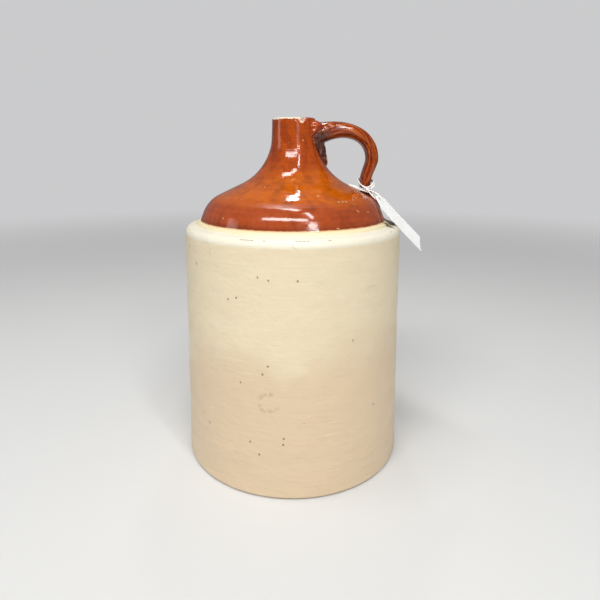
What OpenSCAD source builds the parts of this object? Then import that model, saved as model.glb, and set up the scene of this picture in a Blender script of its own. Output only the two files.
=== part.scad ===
// Stoneware jug with a ledge, a glazed shoulder, a strap handle and a strung paper tag.
// Millimetres. The origin is the centre of the base on the floor, +Z is up and the handle points along +X.

/* [Body] */
// Outside diameter of the straight body
body_d = 292; // [250:1:330]
// Overall height of the jug, floor to mouth
jug_h = 455; // [360:1:540]
// Thickness of the thrown body wall
body_t = 10; // [7:0.5:14]
// Thickness of the base slab
base_t = 14; // [8:0.5:20]
// Rounding of the heel where the body meets the floor
heel_r = 4; // [2:0.5:7]
// Drop of the ledge's outer corner below the seam
ledge_drop = 3.5; // [1:0.5:6]
// Rounding of the ledge's outer corner
ledge_r = 9; // [4:0.5:11]
// Width of the ledge, from the body's side in to the seam
ledge_w = 19; // [15:0.5:30]
// Thickness of the ledge at its inner lip
ledge_t = 12; // [8:0.5:16]
// How far the ledge reaches in past the shoulder's foot
ledge_lip = 2.5; // [1:0.5:6]

/* [Shoulder] */
// Height of shoulder and neck together, seam to mouth
dome_h = 140; // [125:1:165]
// Thickness of the shoulder wall
shoulder_t = 9; // [6:0.5:11]
// How far the corner where the shoulder's side and slope would meet stands in from the seam
shoulder_in = 11.5; // [5:0.5:18]
// Height of that corner above the seam
shoulder_rise = 30; // [24:1:36]
// Rounding of that corner
shoulder_r = 43; // [30:1:50]
// Width of the luting fillet along the ledge
lute_w = 4.5; // [2:0.5:6]
// Height of the luting fillet up the shoulder
lute_h = 4; // [2:0.5:6]

/* [Neck] */
// Diameter at which the slope and the neck would meet in a corner
neck_d = 63; // [60:1:74]
// Height of that corner above the seam
neck_rise = 72; // [66:1:80]
// Rounding of the curve from slope to neck
neck_r = 75; // [50:1:85]
// Outside diameter of the mouth
mouth_d = 58; // [54:1:62]
// Bore of the mouth, which takes a cork
bore_d = 38; // [30:1:42]
// Height of the collar below the mouth
collar_h = 34; // [24:1:36]
// How far the collar stands proud of the neck
collar_proud = 0.5; // [0:0.1:1.5]
// Rounding of the lip
lip_r = 2.5; // [1:0.5:4]

/* [Handle] */
// Depth of the handle's upper end below the mouth
root_drop = 25; // [20:1:30]
// Pull of the arch above the handle's upper end
arch_rise = 22; // [14:1:26]
// Depth of the handle's outermost point below the mouth
bow_drop = 54; // [46:1:60]
// Distance of the strap's lower end in from the seam
foot_back = 21.5; // [17:0.5:29]
// How far the handle's outermost point reaches out past the strap's lower end
bow_out = 12.5; // [6:0.5:24]
// Strap width at the top of the arch
strap_w = 31; // [24:1:36]
// Strap width just above the foot
foot_w = 25; // [20:1:30]
// Strap thickness at the top of the arch
strap_t = 19; // [14:1:22]
// Strap thickness just above the foot
foot_t = 14; // [10:0.5:16]
// Extra thickness where the strap flares into the neck
flare_t = 14; // [8:1:18]
// Radius of the clay wad under the strap's upper end
neck_wad_r = 17; // [13:0.5:19]
// How far the neck wad stands out of the neck
neck_wad_proud = 14.5; // [10:0.5:16]
// Depth of the neck wad's centre below the mouth
neck_wad_drop = 37; // [34:1:44]
// Radius of the clay wad round the strap's lower end
foot_wad_r = 36; // [28:1:44]
// How far the foot wad stands out of the shoulder
foot_wad_proud = 5; // [3:0.5:7]

/* [Tag and string] */
// Diameter of the string
string_d = 1.5; // [1.2:0.1:1.8]
// Diameter of the knot
knot_d = 6; // [5:0.5:7]
// Length of the tag
tag_l = 92; // [70:1:110]
// Width of the tag
tag_w = 46; // [36:1:52]
// Thickness of the tag
tag_t = 0.6; // [0.4:0.1:1]
// Length of the tag's clipped corners
clip_l = 14.5; // [8:0.5:18]
// Width of the tag's upper end between the clipped corners
clip_w = 15; // [14.5:0.5:20]
// Distance of the hole from the tag's upper end
hole_in = 7.5; // [7.5:0.5:10]
// Diameter of the hole
hole_d = 5; // [4:0.5:6]
// Diameter of the patch round the hole
patch_d = 13; // [9:0.5:14]
// Thickness of each patch
patch_t = 0.3; // [0.2:0.1:0.4]
// Turn of the tag about its own length
tag_roll = 22; // [16:1:28]
// Clearance between the tag and the ledge it leans on
lean_gap = 0.4; // [0.3:0.1:1]

/* [Hidden] */
$fn = 96;
cream = "#e6d9b9";
brown = "#b0521a";
paper_white = "#f6f4ec";

// Heights and radii that follow from the sizes above
body_r = body_d / 2;
seam_h = jug_h - dome_h;
seam_d = body_d - 2 * ledge_w;
shoulder_d = seam_d - 2 * shoulder_in;
foot_at = seam_d / 2 - foot_back;
handle_reach = foot_at + bow_out;
seat_r = seam_d / 2 + lute_w;
lip_in_r = seam_d / 2 - shoulder_t - ledge_lip;
cavity_r = body_r - body_t;
ledge_z = seam_h - ledge_drop;
collar_z = jug_h - collar_h;
bore_r = bore_d / 2;

// Flat width under the ledge's lip
lip_flat = 1;

// Steps round a rounded corner of an outline, and round a quarter of a circle
corner_steps = 12;
arc_steps = 6;

function unit(v) = v / norm(v);
function reversed(p) = [for (i = [len(p) - 1:-1:0]) p[i]];

// Quarter of a circle round mid, anticlockwise from the angle start
function quarter(mid, r, start) = [
    for (i = [0:arc_steps])
        let (a = start + 90 * i / arc_steps)
        mid + r * [cos(a), sin(a)]
];

// Half of the angle at corner b between a and c, and the middle of the arc that rounds it
function half_angle(a, b, c) = acos(unit(a - b) * unit(c - b)) / 2;
function corner_mid(a, b, c, r) = b + unit(unit(a - b) + unit(c - b)) * r / sin(half_angle(a, b, c));

// Arc that rounds corner b between a and c
function corner_arc(a, b, c, r) =
    let (
        mid = corner_mid(a, b, c, r),
        back = r / tan(half_angle(a, b, c)),
        p = b + unit(a - b) * back - mid,
        q = b + unit(c - b) * back - mid,
        start = atan2(p[1], p[0]),
        turn = (atan2(q[1], q[0]) - start + 540) % 360 - 180
    )
    [for (i = [0:corner_steps])
        let (angle = start + turn * i / corner_steps)
        mid + r * [cos(angle), sin(angle)]];

// Open line through p whose inner corners are rounded by the radii r
function rounded(p, r) = concat(
    [p[0]],
    [for (k = [1:len(p) - 2]) each corner_arc(p[k - 1], p[k], p[k + 1], r[k - 1])],
    [p[len(p) - 1]]
);

// Outline of shoulder and neck as [radius, height], from the seam up to the mouth
foot_pt = [seam_d / 2, seam_h];
corner_pt = [shoulder_d / 2, seam_h + shoulder_rise];
neck_pt = [neck_d / 2, seam_h + neck_rise];
mouth_pt = [mouth_d / 2, jug_h];
outline = rounded([foot_pt, corner_pt, neck_pt, mouth_pt], [shoulder_r, neck_r]);

// Radius of the outline at a height, and its height at a radius
function outline_r(z) = lookup(z, [for (p = outline) [p[1], p[0]]]);
function outline_z(r) = lookup(r, reversed(outline));

// Part of the outline between two heights, with both end points
function outline_cut(lo, hi) = concat(
    [[outline_r(lo), lo]],
    [for (p = outline) if (p[1] > lo + 0.01 && p[1] < hi - 0.01) p],
    [[outline_r(hi), hi]]
);

// Line p moved inwards by t along its own normals, without its end points
function inset(p, t) = [
    for (i = [1:len(p) - 2])
        let (d = unit(p[i + 1] - p[i - 1]))
        p[i] + t * [-d[1], d[0]]
];

module turned(p) rotate_extrude() polygon(p);

// Outer line of the collar, from its lower edge to the mouth
collar_line = concat(
    [[outline_r(collar_z), collar_z], [outline_r(collar_z) + collar_proud, collar_z + collar_proud]],
    quarter([mouth_d / 2 - lip_r, jug_h - lip_r], lip_r, 0)
);

// Everything inside the outer skin of shoulder, neck and collar, filled
module filled_shoulder() {
    turned(concat([[0, seam_h]], outline, [[0, jug_h]]));
    turned(concat([[0, collar_z]], collar_line, [[0, jug_h]]));
}

// Body

module base_slab() color(cream)
    turned(concat(
        [[0, 0]],
        quarter([body_r - heel_r, heel_r], heel_r, -90),
        [[body_r, base_t], [0, base_t]]
    ));

// Outer line of the wall and the ledge, from the base slab up to the fillet
ledge_line = [[body_r, base_t], [body_r, ledge_z], [seat_r, seam_h]];

// Inner line from under the ledge's lip down to the base slab
inner_line = [
    [lip_in_r + lip_flat, seam_h - ledge_t],
    [cavity_r, seam_h - ledge_t - (cavity_r - lip_in_r) / 2],
    [cavity_r, base_t]
];

module body_wall() color(cream)
    turned(concat(
        rounded(ledge_line, [ledge_r]),
        [[lip_in_r, seam_h], [lip_in_r, seam_h - ledge_t]],
        rounded(inner_line, [body_t])
    ));

module luting_fillet() color(cream)
    let (top = seam_h + lute_h, top_r = outline_r(top))
    turned(concat(
        reversed(outline_cut(seam_h, top)),
        [for (i = [0:arc_steps - 1])
            let (a = 90 * i / arc_steps)
            [top_r + (seat_r - top_r) * cos(a), seam_h + lute_h * sin(a)]]
    ));

// Shoulder and neck

module shoulder_dome() color(brown)
    let (outer = outline_cut(seam_h, collar_z))
    turned(concat(
        outer,
        [[bore_r, collar_z]],
        reversed(inset(outer, shoulder_t)),
        [[seam_d / 2 - shoulder_t, seam_h]]
    ));

module neck_collar() color(brown)
    turned(concat([[bore_r, collar_z]], collar_line, quarter([bore_r + lip_r, jug_h - lip_r], lip_r, 90)));

// Handle

// How deep the strap's two ends start inside the clay of neck and shoulder
root_in = 5;
foot_in = 4;
// How far the pull points of the two curves lie from their ends
root_pull = 49;
bow_pull_up = 32;
bow_pull_down = 12;
foot_pull = [-12, 28];

// The strap's centre line is two cubic curves in the XZ plane that meet upright at the outermost point
root_pt = [bore_r + root_in, jug_h - root_drop];
bow_pt = [handle_reach - (strap_t + foot_t) / 4, jug_h - bow_drop];
strap_foot = [foot_at, outline_z(foot_at) - foot_in];
arch_curve = [root_pt, root_pt + [root_pull, arch_rise], bow_pt + [0, bow_pull_up], bow_pt];
drop_curve = [bow_pt, bow_pt - [0, bow_pull_down], strap_foot + foot_pull, strap_foot];

function cubic(p, t) =
    pow(1 - t, 3) * p[0] + 3 * t * pow(1 - t, 2) * p[1] + 3 * t * t * (1 - t) * p[2] + t * t * t * p[3];
function cubic_way(p, t) =
    unit(pow(1 - t, 2) * (p[1] - p[0]) + 2 * t * (1 - t) * (p[2] - p[1]) + t * t * (p[3] - p[2]));
function strap_at(u) = u < 0.5 ? cubic(arch_curve, 2 * u) : cubic(drop_curve, 2 * u - 1);
function strap_way(u) = u < 0.5 ? cubic_way(arch_curve, 2 * u) : cubic_way(drop_curve, 2 * u - 1);

// Smooth step from 0 to 1, and the flare that fades out over the first share of the strap
flare_share = 0.4;
flare_w = 4;
function eased(u) = u * u * (3 - 2 * u);
function flare(u) = pow(max(0, 1 - u / flare_share), 3);
function strap_thick(u) = strap_t + (foot_t - strap_t) * eased(u) + flare_t * flare(u);
function strap_wide(u) = strap_w + (foot_w - strap_w) * eased(u) + flare_w * flare(u);

// The strap's section is a superellipse
section_sides = 20;
section_power = 0.78;
function squared(c) = sign(c) * pow(abs(c), section_power);
function section(u) = [
    for (i = [0:section_sides - 1])
        let (
            a = 360 * i / section_sides,
            c = strap_at(u), d = strap_way(u),
            out = squared(cos(a)) * strap_thick(u) / 2,
            side = squared(sin(a)) * strap_wide(u) / 2
        )
        [c[0] - d[1] * out, side, c[1] + d[0] * out]
];

// Faces of a tube of n rings with m points each, its ends closed
function tube_faces(n, m) = concat(
    [[for (j = [m - 1:-1:0]) j]],
    [for (i = [0:n - 2], j = [0:m - 1])
        let (k = (j + 1) % m)
        [i * m + j, i * m + k, (i + 1) * m + k]],
    [for (i = [0:n - 2], j = [0:m - 1])
        let (k = (j + 1) % m)
        [i * m + j, (i + 1) * m + k, (i + 1) * m + j]],
    [[for (j = [0:m - 1]) (n - 1) * m + j]]
);

strap_rings = 31;
module strap_sweep()
    polyhedron(
        [for (i = [0:strap_rings - 1]) each section(i / (strap_rings - 1))],
        tube_faces(strap_rings, section_sides)
    );

module neck_wad_ball()
    translate([outline_r(jug_h - neck_wad_drop) + neck_wad_proud - neck_wad_r, 0, jug_h - neck_wad_drop])
        sphere(neck_wad_r);

// The foot wad's centre lies inside the shoulder, on the line that halves its rounded corner
bulge_mid = corner_mid(foot_pt, corner_pt, neck_pt, shoulder_r);
foot_wad_mid = bulge_mid + unit(corner_pt - bulge_mid) * (shoulder_r + foot_wad_proud - foot_wad_r);
module foot_wad_ball() translate([foot_wad_mid[0], 0, foot_wad_mid[1]]) sphere(foot_wad_r);

module handle_strap() color(brown)
    difference() {
        strap_sweep();
        filled_shoulder();
        neck_wad_ball();
        foot_wad_ball();
    }

module neck_wad() color(brown)
    difference() {
        neck_wad_ball();
        filled_shoulder();
    }

module foot_wad() color(brown)
    difference() {
        foot_wad_ball();
        filled_shoulder();
        cylinder(h = seam_h + lute_h, r = body_r);
    }

// String and tag

// Place of the knot, in front of the strap's foot and above the shoulder
knot_back = 4.5;
knot_front = 4.5;
knot_up = 9;
knot_at = [foot_at - knot_back, -(foot_w / 2 + knot_front), outline_z(foot_at) + knot_up];

// Route of the string from the knot: two turns round the strap's foot, back into the knot,
// and a slack bight that lies on the shoulder
string_route = [
    [2.4, 0.4, 1.1], [5.6, 1.8, 2.6], [8.8, 4.4, 4.6], [11.2, 9, 6.8], [12.2, 15, 8.6],
    [11.6, 21.5, 10.2], [9.2, 27.5, 11.4], [4.6, 31.6, 12.2], [-1, 32, 12.4], [-5.8, 29, 12],
    [-8.4, 23.5, 11.2], [-9, 17, 9.8], [-8.8, 11, 8], [-7.4, 6, 6], [-4.2, 3.2, 4.2],
    [0, 2.8, 3.5], [3.8, 3.2, 5], [7.2, 5, 7.4], [9.8, 9.2, 9.8], [10.8, 15.2, 11.6],
    [10.2, 21.6, 13], [7.8, 27.6, 14], [3.4, 31.4, 14.6], [-1.8, 31.4, 14.6], [-6.2, 28.2, 14.2],
    [-9, 22.8, 13.4], [-10.2, 16.4, 12], [-10.4, 10.2, 10.2], [-9.4, 4.4, 7.8], [-6.8, 0.6, 5],
    [-3.2, -0.6, 2.4], [-1, -0.4, 1.4], [0, -0.2, 0], [-1, 0, -1.4], [-3.4, 0, -1.6],
    [-6.8, -0.4, -0.6], [-11, 0, 1], [-15.4, 1.4, 2.8], [-19.6, 3.6, 4.6], [-22.8, 6.6, 6.1],
    [-23.4, 10.2, 6.8], [-20.6, 12.4, 6.2], [-16.4, 11.4, 4.8], [-12, 8.2, 3.2], [-8, 5, 1.8],
    [-4.6, 2.8, 0.8], [-1.9, 1.8, 0.2]
];
// Route of the loop from the knot over the tag's end, down through the hole and back under the tag
loop_route = [
    [2.8, -1.9, -0.4], [7.6, -5.6, -2.7], [12, -8.8, -5.6], [14.3, -10.1, -8.4], [15, -9.8, -10.6],
    [14.2, -9, -12.5], [12.2, -8.2, -13.2], [10.2, -7.9, -12.2], [6, -5, -8.2], [1.5, -1.6, -2.6]
];

// Smooth line through the points p, s steps between neighbours
function spline_pt(a, b, c, d, t) =
    0.5 * (2 * b + (c - a) * t + (2 * a - 5 * b + 4 * c - d) * t * t + (3 * b - a - 3 * c + d) * t * t * t);
function smooth_line(p, s) = concat(
    [for (i = [0:len(p) - 2], k = [0:s - 1])
        let (a = p[max(0, i - 1)], b = p[i], c = p[i + 1], d = p[min(len(p) - 1, i + 2)])
        spline_pt(a, b, c, d, k / s)],
    [p[len(p) - 1]]
);

// Frames along a line, each side vector carried on from the one before
function way(p, i) = unit(p[min(len(p) - 1, i + 1)] - p[max(0, i - 1)]);
function square_to(v, d) = unit(v - (v * d) * d);
function sides_along(p, i = 0, v = [0.2, 0.3, 1]) =
    let (s = square_to(v, way(p, i)))
    i == len(p) - 1 ? [s] : concat([s], sides_along(p, i + 1, s));

// Least gap of the string to itself, among points more than a few steps apart
function least_gap(p, skip) =
    min([for (i = [0:len(p) - 1], j = [i + skip:1:len(p) - 1]) norm(p[i] - p[j])]) - string_d;
echo(least_gap_of_string = least_gap(smooth_line(string_route, 6), 12));
echo(least_gap_of_loop = least_gap(smooth_line(loop_route, 6), 12));

string_sides = 8;
string_steps = 2;
module string_tube(route)
    let (line = smooth_line(route, string_steps), sides = sides_along(line), r = string_d / 2)
    translate(knot_at)
        polyhedron(
            [for (i = [0:len(line) - 1], j = [0:string_sides - 1])
                let (a = 360 * j / string_sides, s = sides[i], b = cross(way(line, i), s))
                line[i] + r * (cos(a) * s + sin(a) * b)],
            tube_faces(len(line), string_sides)
        );

module tie_string() color(paper_white) string_tube(string_route);
module string_knot() color(paper_white) translate(knot_at) sphere(d = knot_d);
module tag_loop() color(paper_white) string_tube(loop_route);

// Middle of the tag's upper end, and the tilt at which its near edge clears the ledge's rounding
tag_from_knot = [9.2, -9, -7];
tag_top = knot_at + tag_from_knot;
edge_y = tag_top[1] - cos(tag_roll) * tag_w / 2;
round_mid = corner_mid(ledge_line[0], ledge_line[1], ledge_line[2], ledge_r);
ledge_way = [sqrt(pow(round_mid[0], 2) - pow(edge_y, 2)) - tag_top[0], round_mid[1] - tag_top[2]];
ledge_clear = ledge_r + lean_gap + tag_t + sin(tag_roll) * tag_w / 2;
tag_pitch = atan2(-ledge_way[1], ledge_way[0]) - asin(ledge_clear / norm(ledge_way));

module tag_place() translate(tag_top) rotate([0, tag_pitch, 0]) rotate([tag_roll, 0, 0]) children();
module hole_cut() translate([hole_in, 0, 0]) cylinder(h = 4 * (tag_t + patch_t), d = hole_d, center = true);

module paper_tag() color(paper_white)
    tag_place() difference() {
        translate([0, 0, -tag_t / 2]) linear_extrude(tag_t) polygon([
            [0, -clip_w / 2], [clip_l, -tag_w / 2], [tag_l, -tag_w / 2],
            [tag_l, tag_w / 2], [clip_l, tag_w / 2], [0, clip_w / 2]
        ]);
        hole_cut();
    }

module hole_patches() color(paper_white)
    tag_place() for (side = [-1, 1])
        difference() {
            translate([hole_in, 0, side * (tag_t + patch_t) / 2])
                cylinder(h = patch_t, d = patch_d, center = true);
            hole_cut();
        }

base_slab();
body_wall();
luting_fillet();
shoulder_dome();
neck_collar();
handle_strap();
neck_wad();
foot_wad();
tie_string();
string_knot();
tag_loop();
paper_tag();
hole_patches();
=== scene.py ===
"""Stoneware jug with a ledge, a glazed shoulder, a strap handle and a strung paper tag.

Lengths are in metres, and in millimetres in the tables that say so. The origin is the centre of the base,
+Z is up and the handle points along +X.
"""

import math

import bmesh
import bpy
from mathutils import Euler, Matrix, Vector, noise


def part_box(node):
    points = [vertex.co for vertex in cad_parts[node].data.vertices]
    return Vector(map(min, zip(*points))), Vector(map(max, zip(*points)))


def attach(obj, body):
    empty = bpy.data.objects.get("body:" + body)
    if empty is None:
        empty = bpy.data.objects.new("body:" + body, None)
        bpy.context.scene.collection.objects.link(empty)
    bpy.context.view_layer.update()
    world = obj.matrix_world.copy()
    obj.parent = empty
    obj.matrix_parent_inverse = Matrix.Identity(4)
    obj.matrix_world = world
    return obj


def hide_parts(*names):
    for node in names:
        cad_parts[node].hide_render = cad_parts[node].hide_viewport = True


bl_info = {
    "name": "Stoneware Jug",
    "version": (1, 0, 0),
    "blender": (4, 5, 0),
    "location": "View3D > Sidebar > Jug",
    "description": "Dresses the shouldered jug with its clay, glaze, string and tag",
    "category": "Add Mesh",
}

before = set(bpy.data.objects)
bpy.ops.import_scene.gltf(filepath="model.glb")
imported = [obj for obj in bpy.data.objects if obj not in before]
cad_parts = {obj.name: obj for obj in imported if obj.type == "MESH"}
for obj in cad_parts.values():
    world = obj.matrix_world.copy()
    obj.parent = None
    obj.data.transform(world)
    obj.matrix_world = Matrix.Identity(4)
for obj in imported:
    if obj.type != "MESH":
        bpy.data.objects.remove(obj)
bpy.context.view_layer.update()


def box_of(node):
    """Lowest and highest corner of a node of the frame."""
    return [Vector(point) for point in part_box(node)]


def mm(points):
    """Points given in millimetres, as vectors in metres."""
    return [Vector([x / 1000 for x in point]) for point in points]


WALL_LOW, WALL_HIGH = box_of("body_wall")
DOME_LOW, DOME_HIGH = box_of("shoulder_dome")
COLLAR_LOW, COLLAR_HIGH = box_of("neck_collar")
KNOT_LOW, KNOT_HIGH = box_of("string_knot")

BODY_R, BASE_T = WALL_HIGH.x, WALL_LOW.z
SEAM_R, SEAM_H = DOME_HIGH.x, DOME_LOW.z
SEAT_R, _, SEAT_H = box_of("luting_fillet")[1]
COLLAR_Z, JUG_H = COLLAR_LOW.z, COLLAR_HIGH.z
KNOT_AT = (KNOT_LOW + KNOT_HIGH) / 2

# How finely each piece is divided
BODY_SIDES, BODY_STEP = 256, 0.0022
NECK_SIDES, NECK_STEP = 224, 0.0018
INSIDE_STEP = 0.012
STRAP_SIDES, STRAP_RINGS = 56, 150
WAD_SIDES, WAD_RINGS = 48, 16
TAG_COLUMNS, TAG_ROWS = 72, 30
STRING_SIDES, STRING_STEPS, KNOT_STEPS = 18, 12, 144
PATCH_SIDES = 56

# Route of the string from the knot: two turns round the strap's foot, back into the knot,
# and a slack bight that lies on the shoulder
STRING_ROUTE = [
    (0.0024, 0.0004, 0.0011), (0.0056, 0.0018, 0.0026), (0.0088, 0.0044, 0.0046),
    (0.0112, 0.009, 0.0068), (0.0122, 0.015, 0.0086), (0.0116, 0.0215, 0.0102),
    (0.0092, 0.0275, 0.0114), (0.0046, 0.0316, 0.0122), (-0.001, 0.032, 0.0124),
    (-0.0058, 0.029, 0.012), (-0.0084, 0.0235, 0.0112), (-0.009, 0.017, 0.0098),
    (-0.0088, 0.011, 0.008), (-0.0074, 0.006, 0.006), (-0.0042, 0.0032, 0.0042), (0, 0.0028, 0.0035),
    (0.0038, 0.0032, 0.005), (0.0072, 0.005, 0.0074), (0.0098, 0.0092, 0.0098),
    (0.0108, 0.0152, 0.0116), (0.0102, 0.0216, 0.013), (0.0078, 0.0276, 0.014),
    (0.0034, 0.0314, 0.0146), (-0.0018, 0.0314, 0.0146), (-0.0062, 0.0282, 0.0142),
    (-0.009, 0.0228, 0.0134), (-0.0102, 0.0164, 0.012), (-0.0104, 0.0102, 0.0102),
    (-0.0094, 0.0044, 0.0078), (-0.0068, 0.0006, 0.005), (-0.0032, -0.0006, 0.0024),
    (-0.001, -0.0004, 0.0014), (0, -0.0002, 0), (-0.001, 0, -0.0014), (-0.0034, 0, -0.0016),
    (-0.0068, -0.0004, -0.0006), (-0.011, 0, 0.001), (-0.0154, 0.0014, 0.0028),
    (-0.0196, 0.0036, 0.0046), (-0.0228, 0.0066, 0.0061), (-0.0234, 0.0102, 0.0068),
    (-0.0206, 0.0124, 0.0062), (-0.0164, 0.0114, 0.0048), (-0.012, 0.0082, 0.0032),
    (-0.008, 0.005, 0.0018), (-0.0046, 0.0028, 0.0008), (-0.0019, 0.0018, 0.0002),
]
# Route of the loop from the knot over the tag's end, down through the hole and back under the tag
LOOP_ROUTE = [
    (0.0028, -0.0019, -0.0004), (0.0076, -0.0056, -0.0027), (0.012, -0.0088, -0.0056),
    (0.0143, -0.0101, -0.0084), (0.015, -0.0098, -0.0106), (0.0142, -0.009, -0.0125),
    (0.0122, -0.0082, -0.0132), (0.0102, -0.0079, -0.0122), (0.006, -0.005, -0.0082),
    (0.0015, -0.0016, -0.0026),
]
# Pinholes in the cream glaze as (angle round the jug in degrees, height)
CREAM_PINHOLES = [
    (-149.2, 0.2746), (-149, 0.273), (-158.3, 0.2921), (-110.8, 0.2698), (-105.8, 0.2669),
    (-92.8, 0.2668), (-126.1, 0.24), (-121.5, 0.2435), (-106.3, 0.1656), (-108.8, 0.1556),
    (-119.9, 0.1418), (-140.5, 0.0749), (-140.4, 0.0732), (-115.3, 0.0696), (-99.1, 0.0783),
    (-99.4, 0.0708), (-110.7, 0.0553), (-24, 0.214), (37, 0.122), (71, 0.251), (78, 0.262),
    (128, 0.194), (140, 0.09), (168, 0.231), (-178, 0.148), (-66, 0.191), (-52, 0.101),
]
# Rusty smudges in the cream glaze: a faint arc over a heavier one, and a few on the far side
CREAM_SMUDGES = [
    (-110.3, 0.1264), (-109.8, 0.1273), (-108.7, 0.1304), (-107.4, 0.1317), (-106.1, 0.1311),
    (-105.5, 0.1317), (-104.9, 0.1321), (-110.4, 0.1165), (-110, 0.1154), (-109.4, 0.1128),
    (-108.9, 0.1113), (-108.3, 0.1105), (-105.9, 0.1119), (-105.3, 0.1113), (-104.6, 0.1117),
    (-104, 0.1129), (-102.1, 0.1152), (57, 0.162), (59, 0.158), (60, 0.165),
]
# Hairline that runs down the cream glaze as (angle in degrees, height), and a small crack below
# the ledge, in millimetres
CREAM_HAIRLINES = [
    (-137.1, 0.2965), (-137.5, 0.2945), (-137.4, 0.2925), (-137.2, 0.2908), (-136.8, 0.289),
]
LEDGE_CRACK = mm([
    (-13.3, -144.3, 308.6), (-12.8, -145, 307), (-12.2, -145.5, 305.4), (-10.6, -145.7, 304.3),
    (-9, -145.8, 303.5),
])
# Angles of dark hairlines in the ledge's glaze
LEDGE_HAIRLINES = [
    -119.4, -118, -116.6, -115.2, -113.8, -107.9, -93, -91.5, -90, -88, -78, -36, 24, 29, 101, 160,
    -163,
]
# Radius and height at which the ledge turns over its outer rounding
LEDGE_TURN = (0.1425, SEAM_H - 0.0037)
# Middle of the cream tongue in the tan blush
CREAM_TONGUE = (-96, 0.190)
# Where brown and olive glaze ran down and pooled on the ledge behind the tag, darkened there also as
# painted shadow of the tag, in millimetres
POOLED_AND_TAG_SHADOW_SPOTS = mm([
    (119, -57.3, 314.9), (126, -43, 314.2), (133, -33, 313.8), (135, -20, 313.7), (138, 5.3, 313.4),
    (137, -8, 313.6),
])
# Pale burst bubbles and dashes in the brown glaze as (angle round the jug in degrees, height)
BROWN_FLECKS = [
    (-52, 0.338), (-52.5, 0.3395), (-43, 0.336), (-49, 0.351), (-125, 0.3665), (-98, 0.375),
    (-73, 0.425), (-95, 0.376), (-139, 0.33), (20, 0.345), (75, 0.352), (118, 0.338), (160, 0.361),
]
BROWN_DASHES = [
    (-60, 0.35), (-63, 0.3502), (-57, 0.3498), (-76, 0.357), (-70, 0.3215), (95, 0.347),
]
# Chips in the rim, in millimetres
CHIPS = mm([
    (2.2, -28.9, 454.7), (4.5, -28.8, 453.6), (6.8, -28.5, 452), (9, -28, 450.4), (8.8, -28.1, 454.8),
    (11.5, -27.2, 454.5), (11.2, -27.3, 452.2), (13.8, -26, 454.9),
])
# Middle of the hollow inside the handle's arch
HANDLE_HOLLOW = Vector((0.070, 0.0, 0.404))
# The wrinkled root, the painted shade under it and the places where brown glaze pools dark, in millimetres
WRINKLED_ROOT = mm([
    (34, -14, 424), (37, -10, 414), (42, -5, 404),
])
SHADE_UNDER_ROOT = mm([
    (28, -18, 418), (34, -16, 406), (42, -16, 396), (54, -18, 385),
])
DARK_POOLS = mm([
    (37, -13, 421.5), (41, -10, 413), (36, -14, 429), (46, -10, 423), (36, 13, 421.5), (41, 10, 413),
    (100, 12, 353), (112, 10, 345), (98, -12, 353.5),
])
# Wads of clay: height of the middle, half height, half width, how far it stands proud, and seed
FOOT_WAD = (SEAM_H + 0.027, 0.027, 0.021, 0.0050, 4.2)
NECK_WAD = (COLLAR_Z + 0.004, 0.026, 0.0235, 0.0042, 9.1)
# Finger grooves round the strap's section: angle, way in which each drifts, and share of the depth
STRAP_GROOVES = [(22, 1, 0.5), (72, 1, 1), (119, 1, 0.8), (241, -1, 0.8), (288, -1, 1), (338, -1, 0.5)]
# Power that squares the strap's oval section, and spread of a groove across it in radians
SQUARENESS, GROOVE_SPREAD = 0.8, 0.16
# How deep the wads' undersides lie in the clay
WAD_UNDER = 0.0035
# How far hand work leaves the body, in broad swells and in lumps, the skin and the rim from true
BODY_BROAD, BODY_LUMPS, SKIN_UNEVEN, RIM_UNEVEN = 0.00045, 0.00022, 0.00035, 0.0005
# A chip's full and outer reach, and how deep it goes inwards and down
CHIP_CORE, CHIP_EDGE, CHIP_IN, CHIP_DOWN = 0.0010, 0.0042, 0.0011, 0.0012
# Lumps of luting clay squeezed in under the strap's root: middle and half sizes in millimetres.
# One that lies to a side has its like on the other.
ROOT_LUMPS = [
    ((33.5, 0, 421), (10.5, 12.5, 15)),
    ((37.5, 0, 408), (8.5, 10.5, 16)),
    ((42, 0, 398), (6, 8, 11)),
    ((44, 0, 429), (7.5, 9.5, 6)),
    ((30, -15, 436), (9, 5, 8.5)),
    ((23.5, -13.5, 439.5), (11.5, 8, 12.5)),
    ((28.5, -15, 441.5), (9.8, 7, 9)),
    ((30.5, -8, 440), (8.5, 9.5, 11)),
    ((28.5, 0, 445.5), (8, 13, 7.6)),
    ((34.5, 0, 442.5), (11, 13, 7.8)),
]
# Rolls of clay thumbed from the strap onto the neck: thickness and line of each, in millimetres
ROOT_ROLLS = [
    (3, [(21.5, -21, 429), (26.2, -20.5, 436.5), (34.5, -16.5, 442), (47, -10.5, 444), (56, -8, 445)]),
    (4, [(28.5, -17.5, 428.5), (39.5, -15, 437.5), (52, -12.5, 442), (66, -10.5, 442.5), (80, -9, 438)]),
    (1.5, [(22.2, -20.5, 427.5), (23.8, -19.5, 422.5), (26.2, -18, 418)]),
    (1.7, [(26.2, -19, 428.5), (26.8, -17.8, 423), (30, -16, 417)]),
    (1.7, [(31, -16, 429), (31.8, -14.5, 422.5), (34, -12.5, 414)]),
    (1.6, [(35.5, -12.5, 429), (37, -10.5, 420), (39, -8.5, 411)]),
    (1.4, [(25, -18.5, 415), (30, -15.5, 409.5), (36, -12, 403)]),
    (3, [(21.5, 21, 429), (27, 20, 436), (35, 16, 442), (47, 10.5, 444)]),
    (1.8, [(25, 18.5, 427), (28, 17, 420), (32, 14.5, 412)]),
    (1.8, [(31, 15, 428), (33, 13, 420), (36, 10.5, 411)]),
]


def length(name, about, metres):
    """A length that the sidebar shows."""
    return bpy.props.FloatProperty(
        name=name, description=about, default=metres, min=0, unit="LENGTH", precision=4
    )


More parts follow.
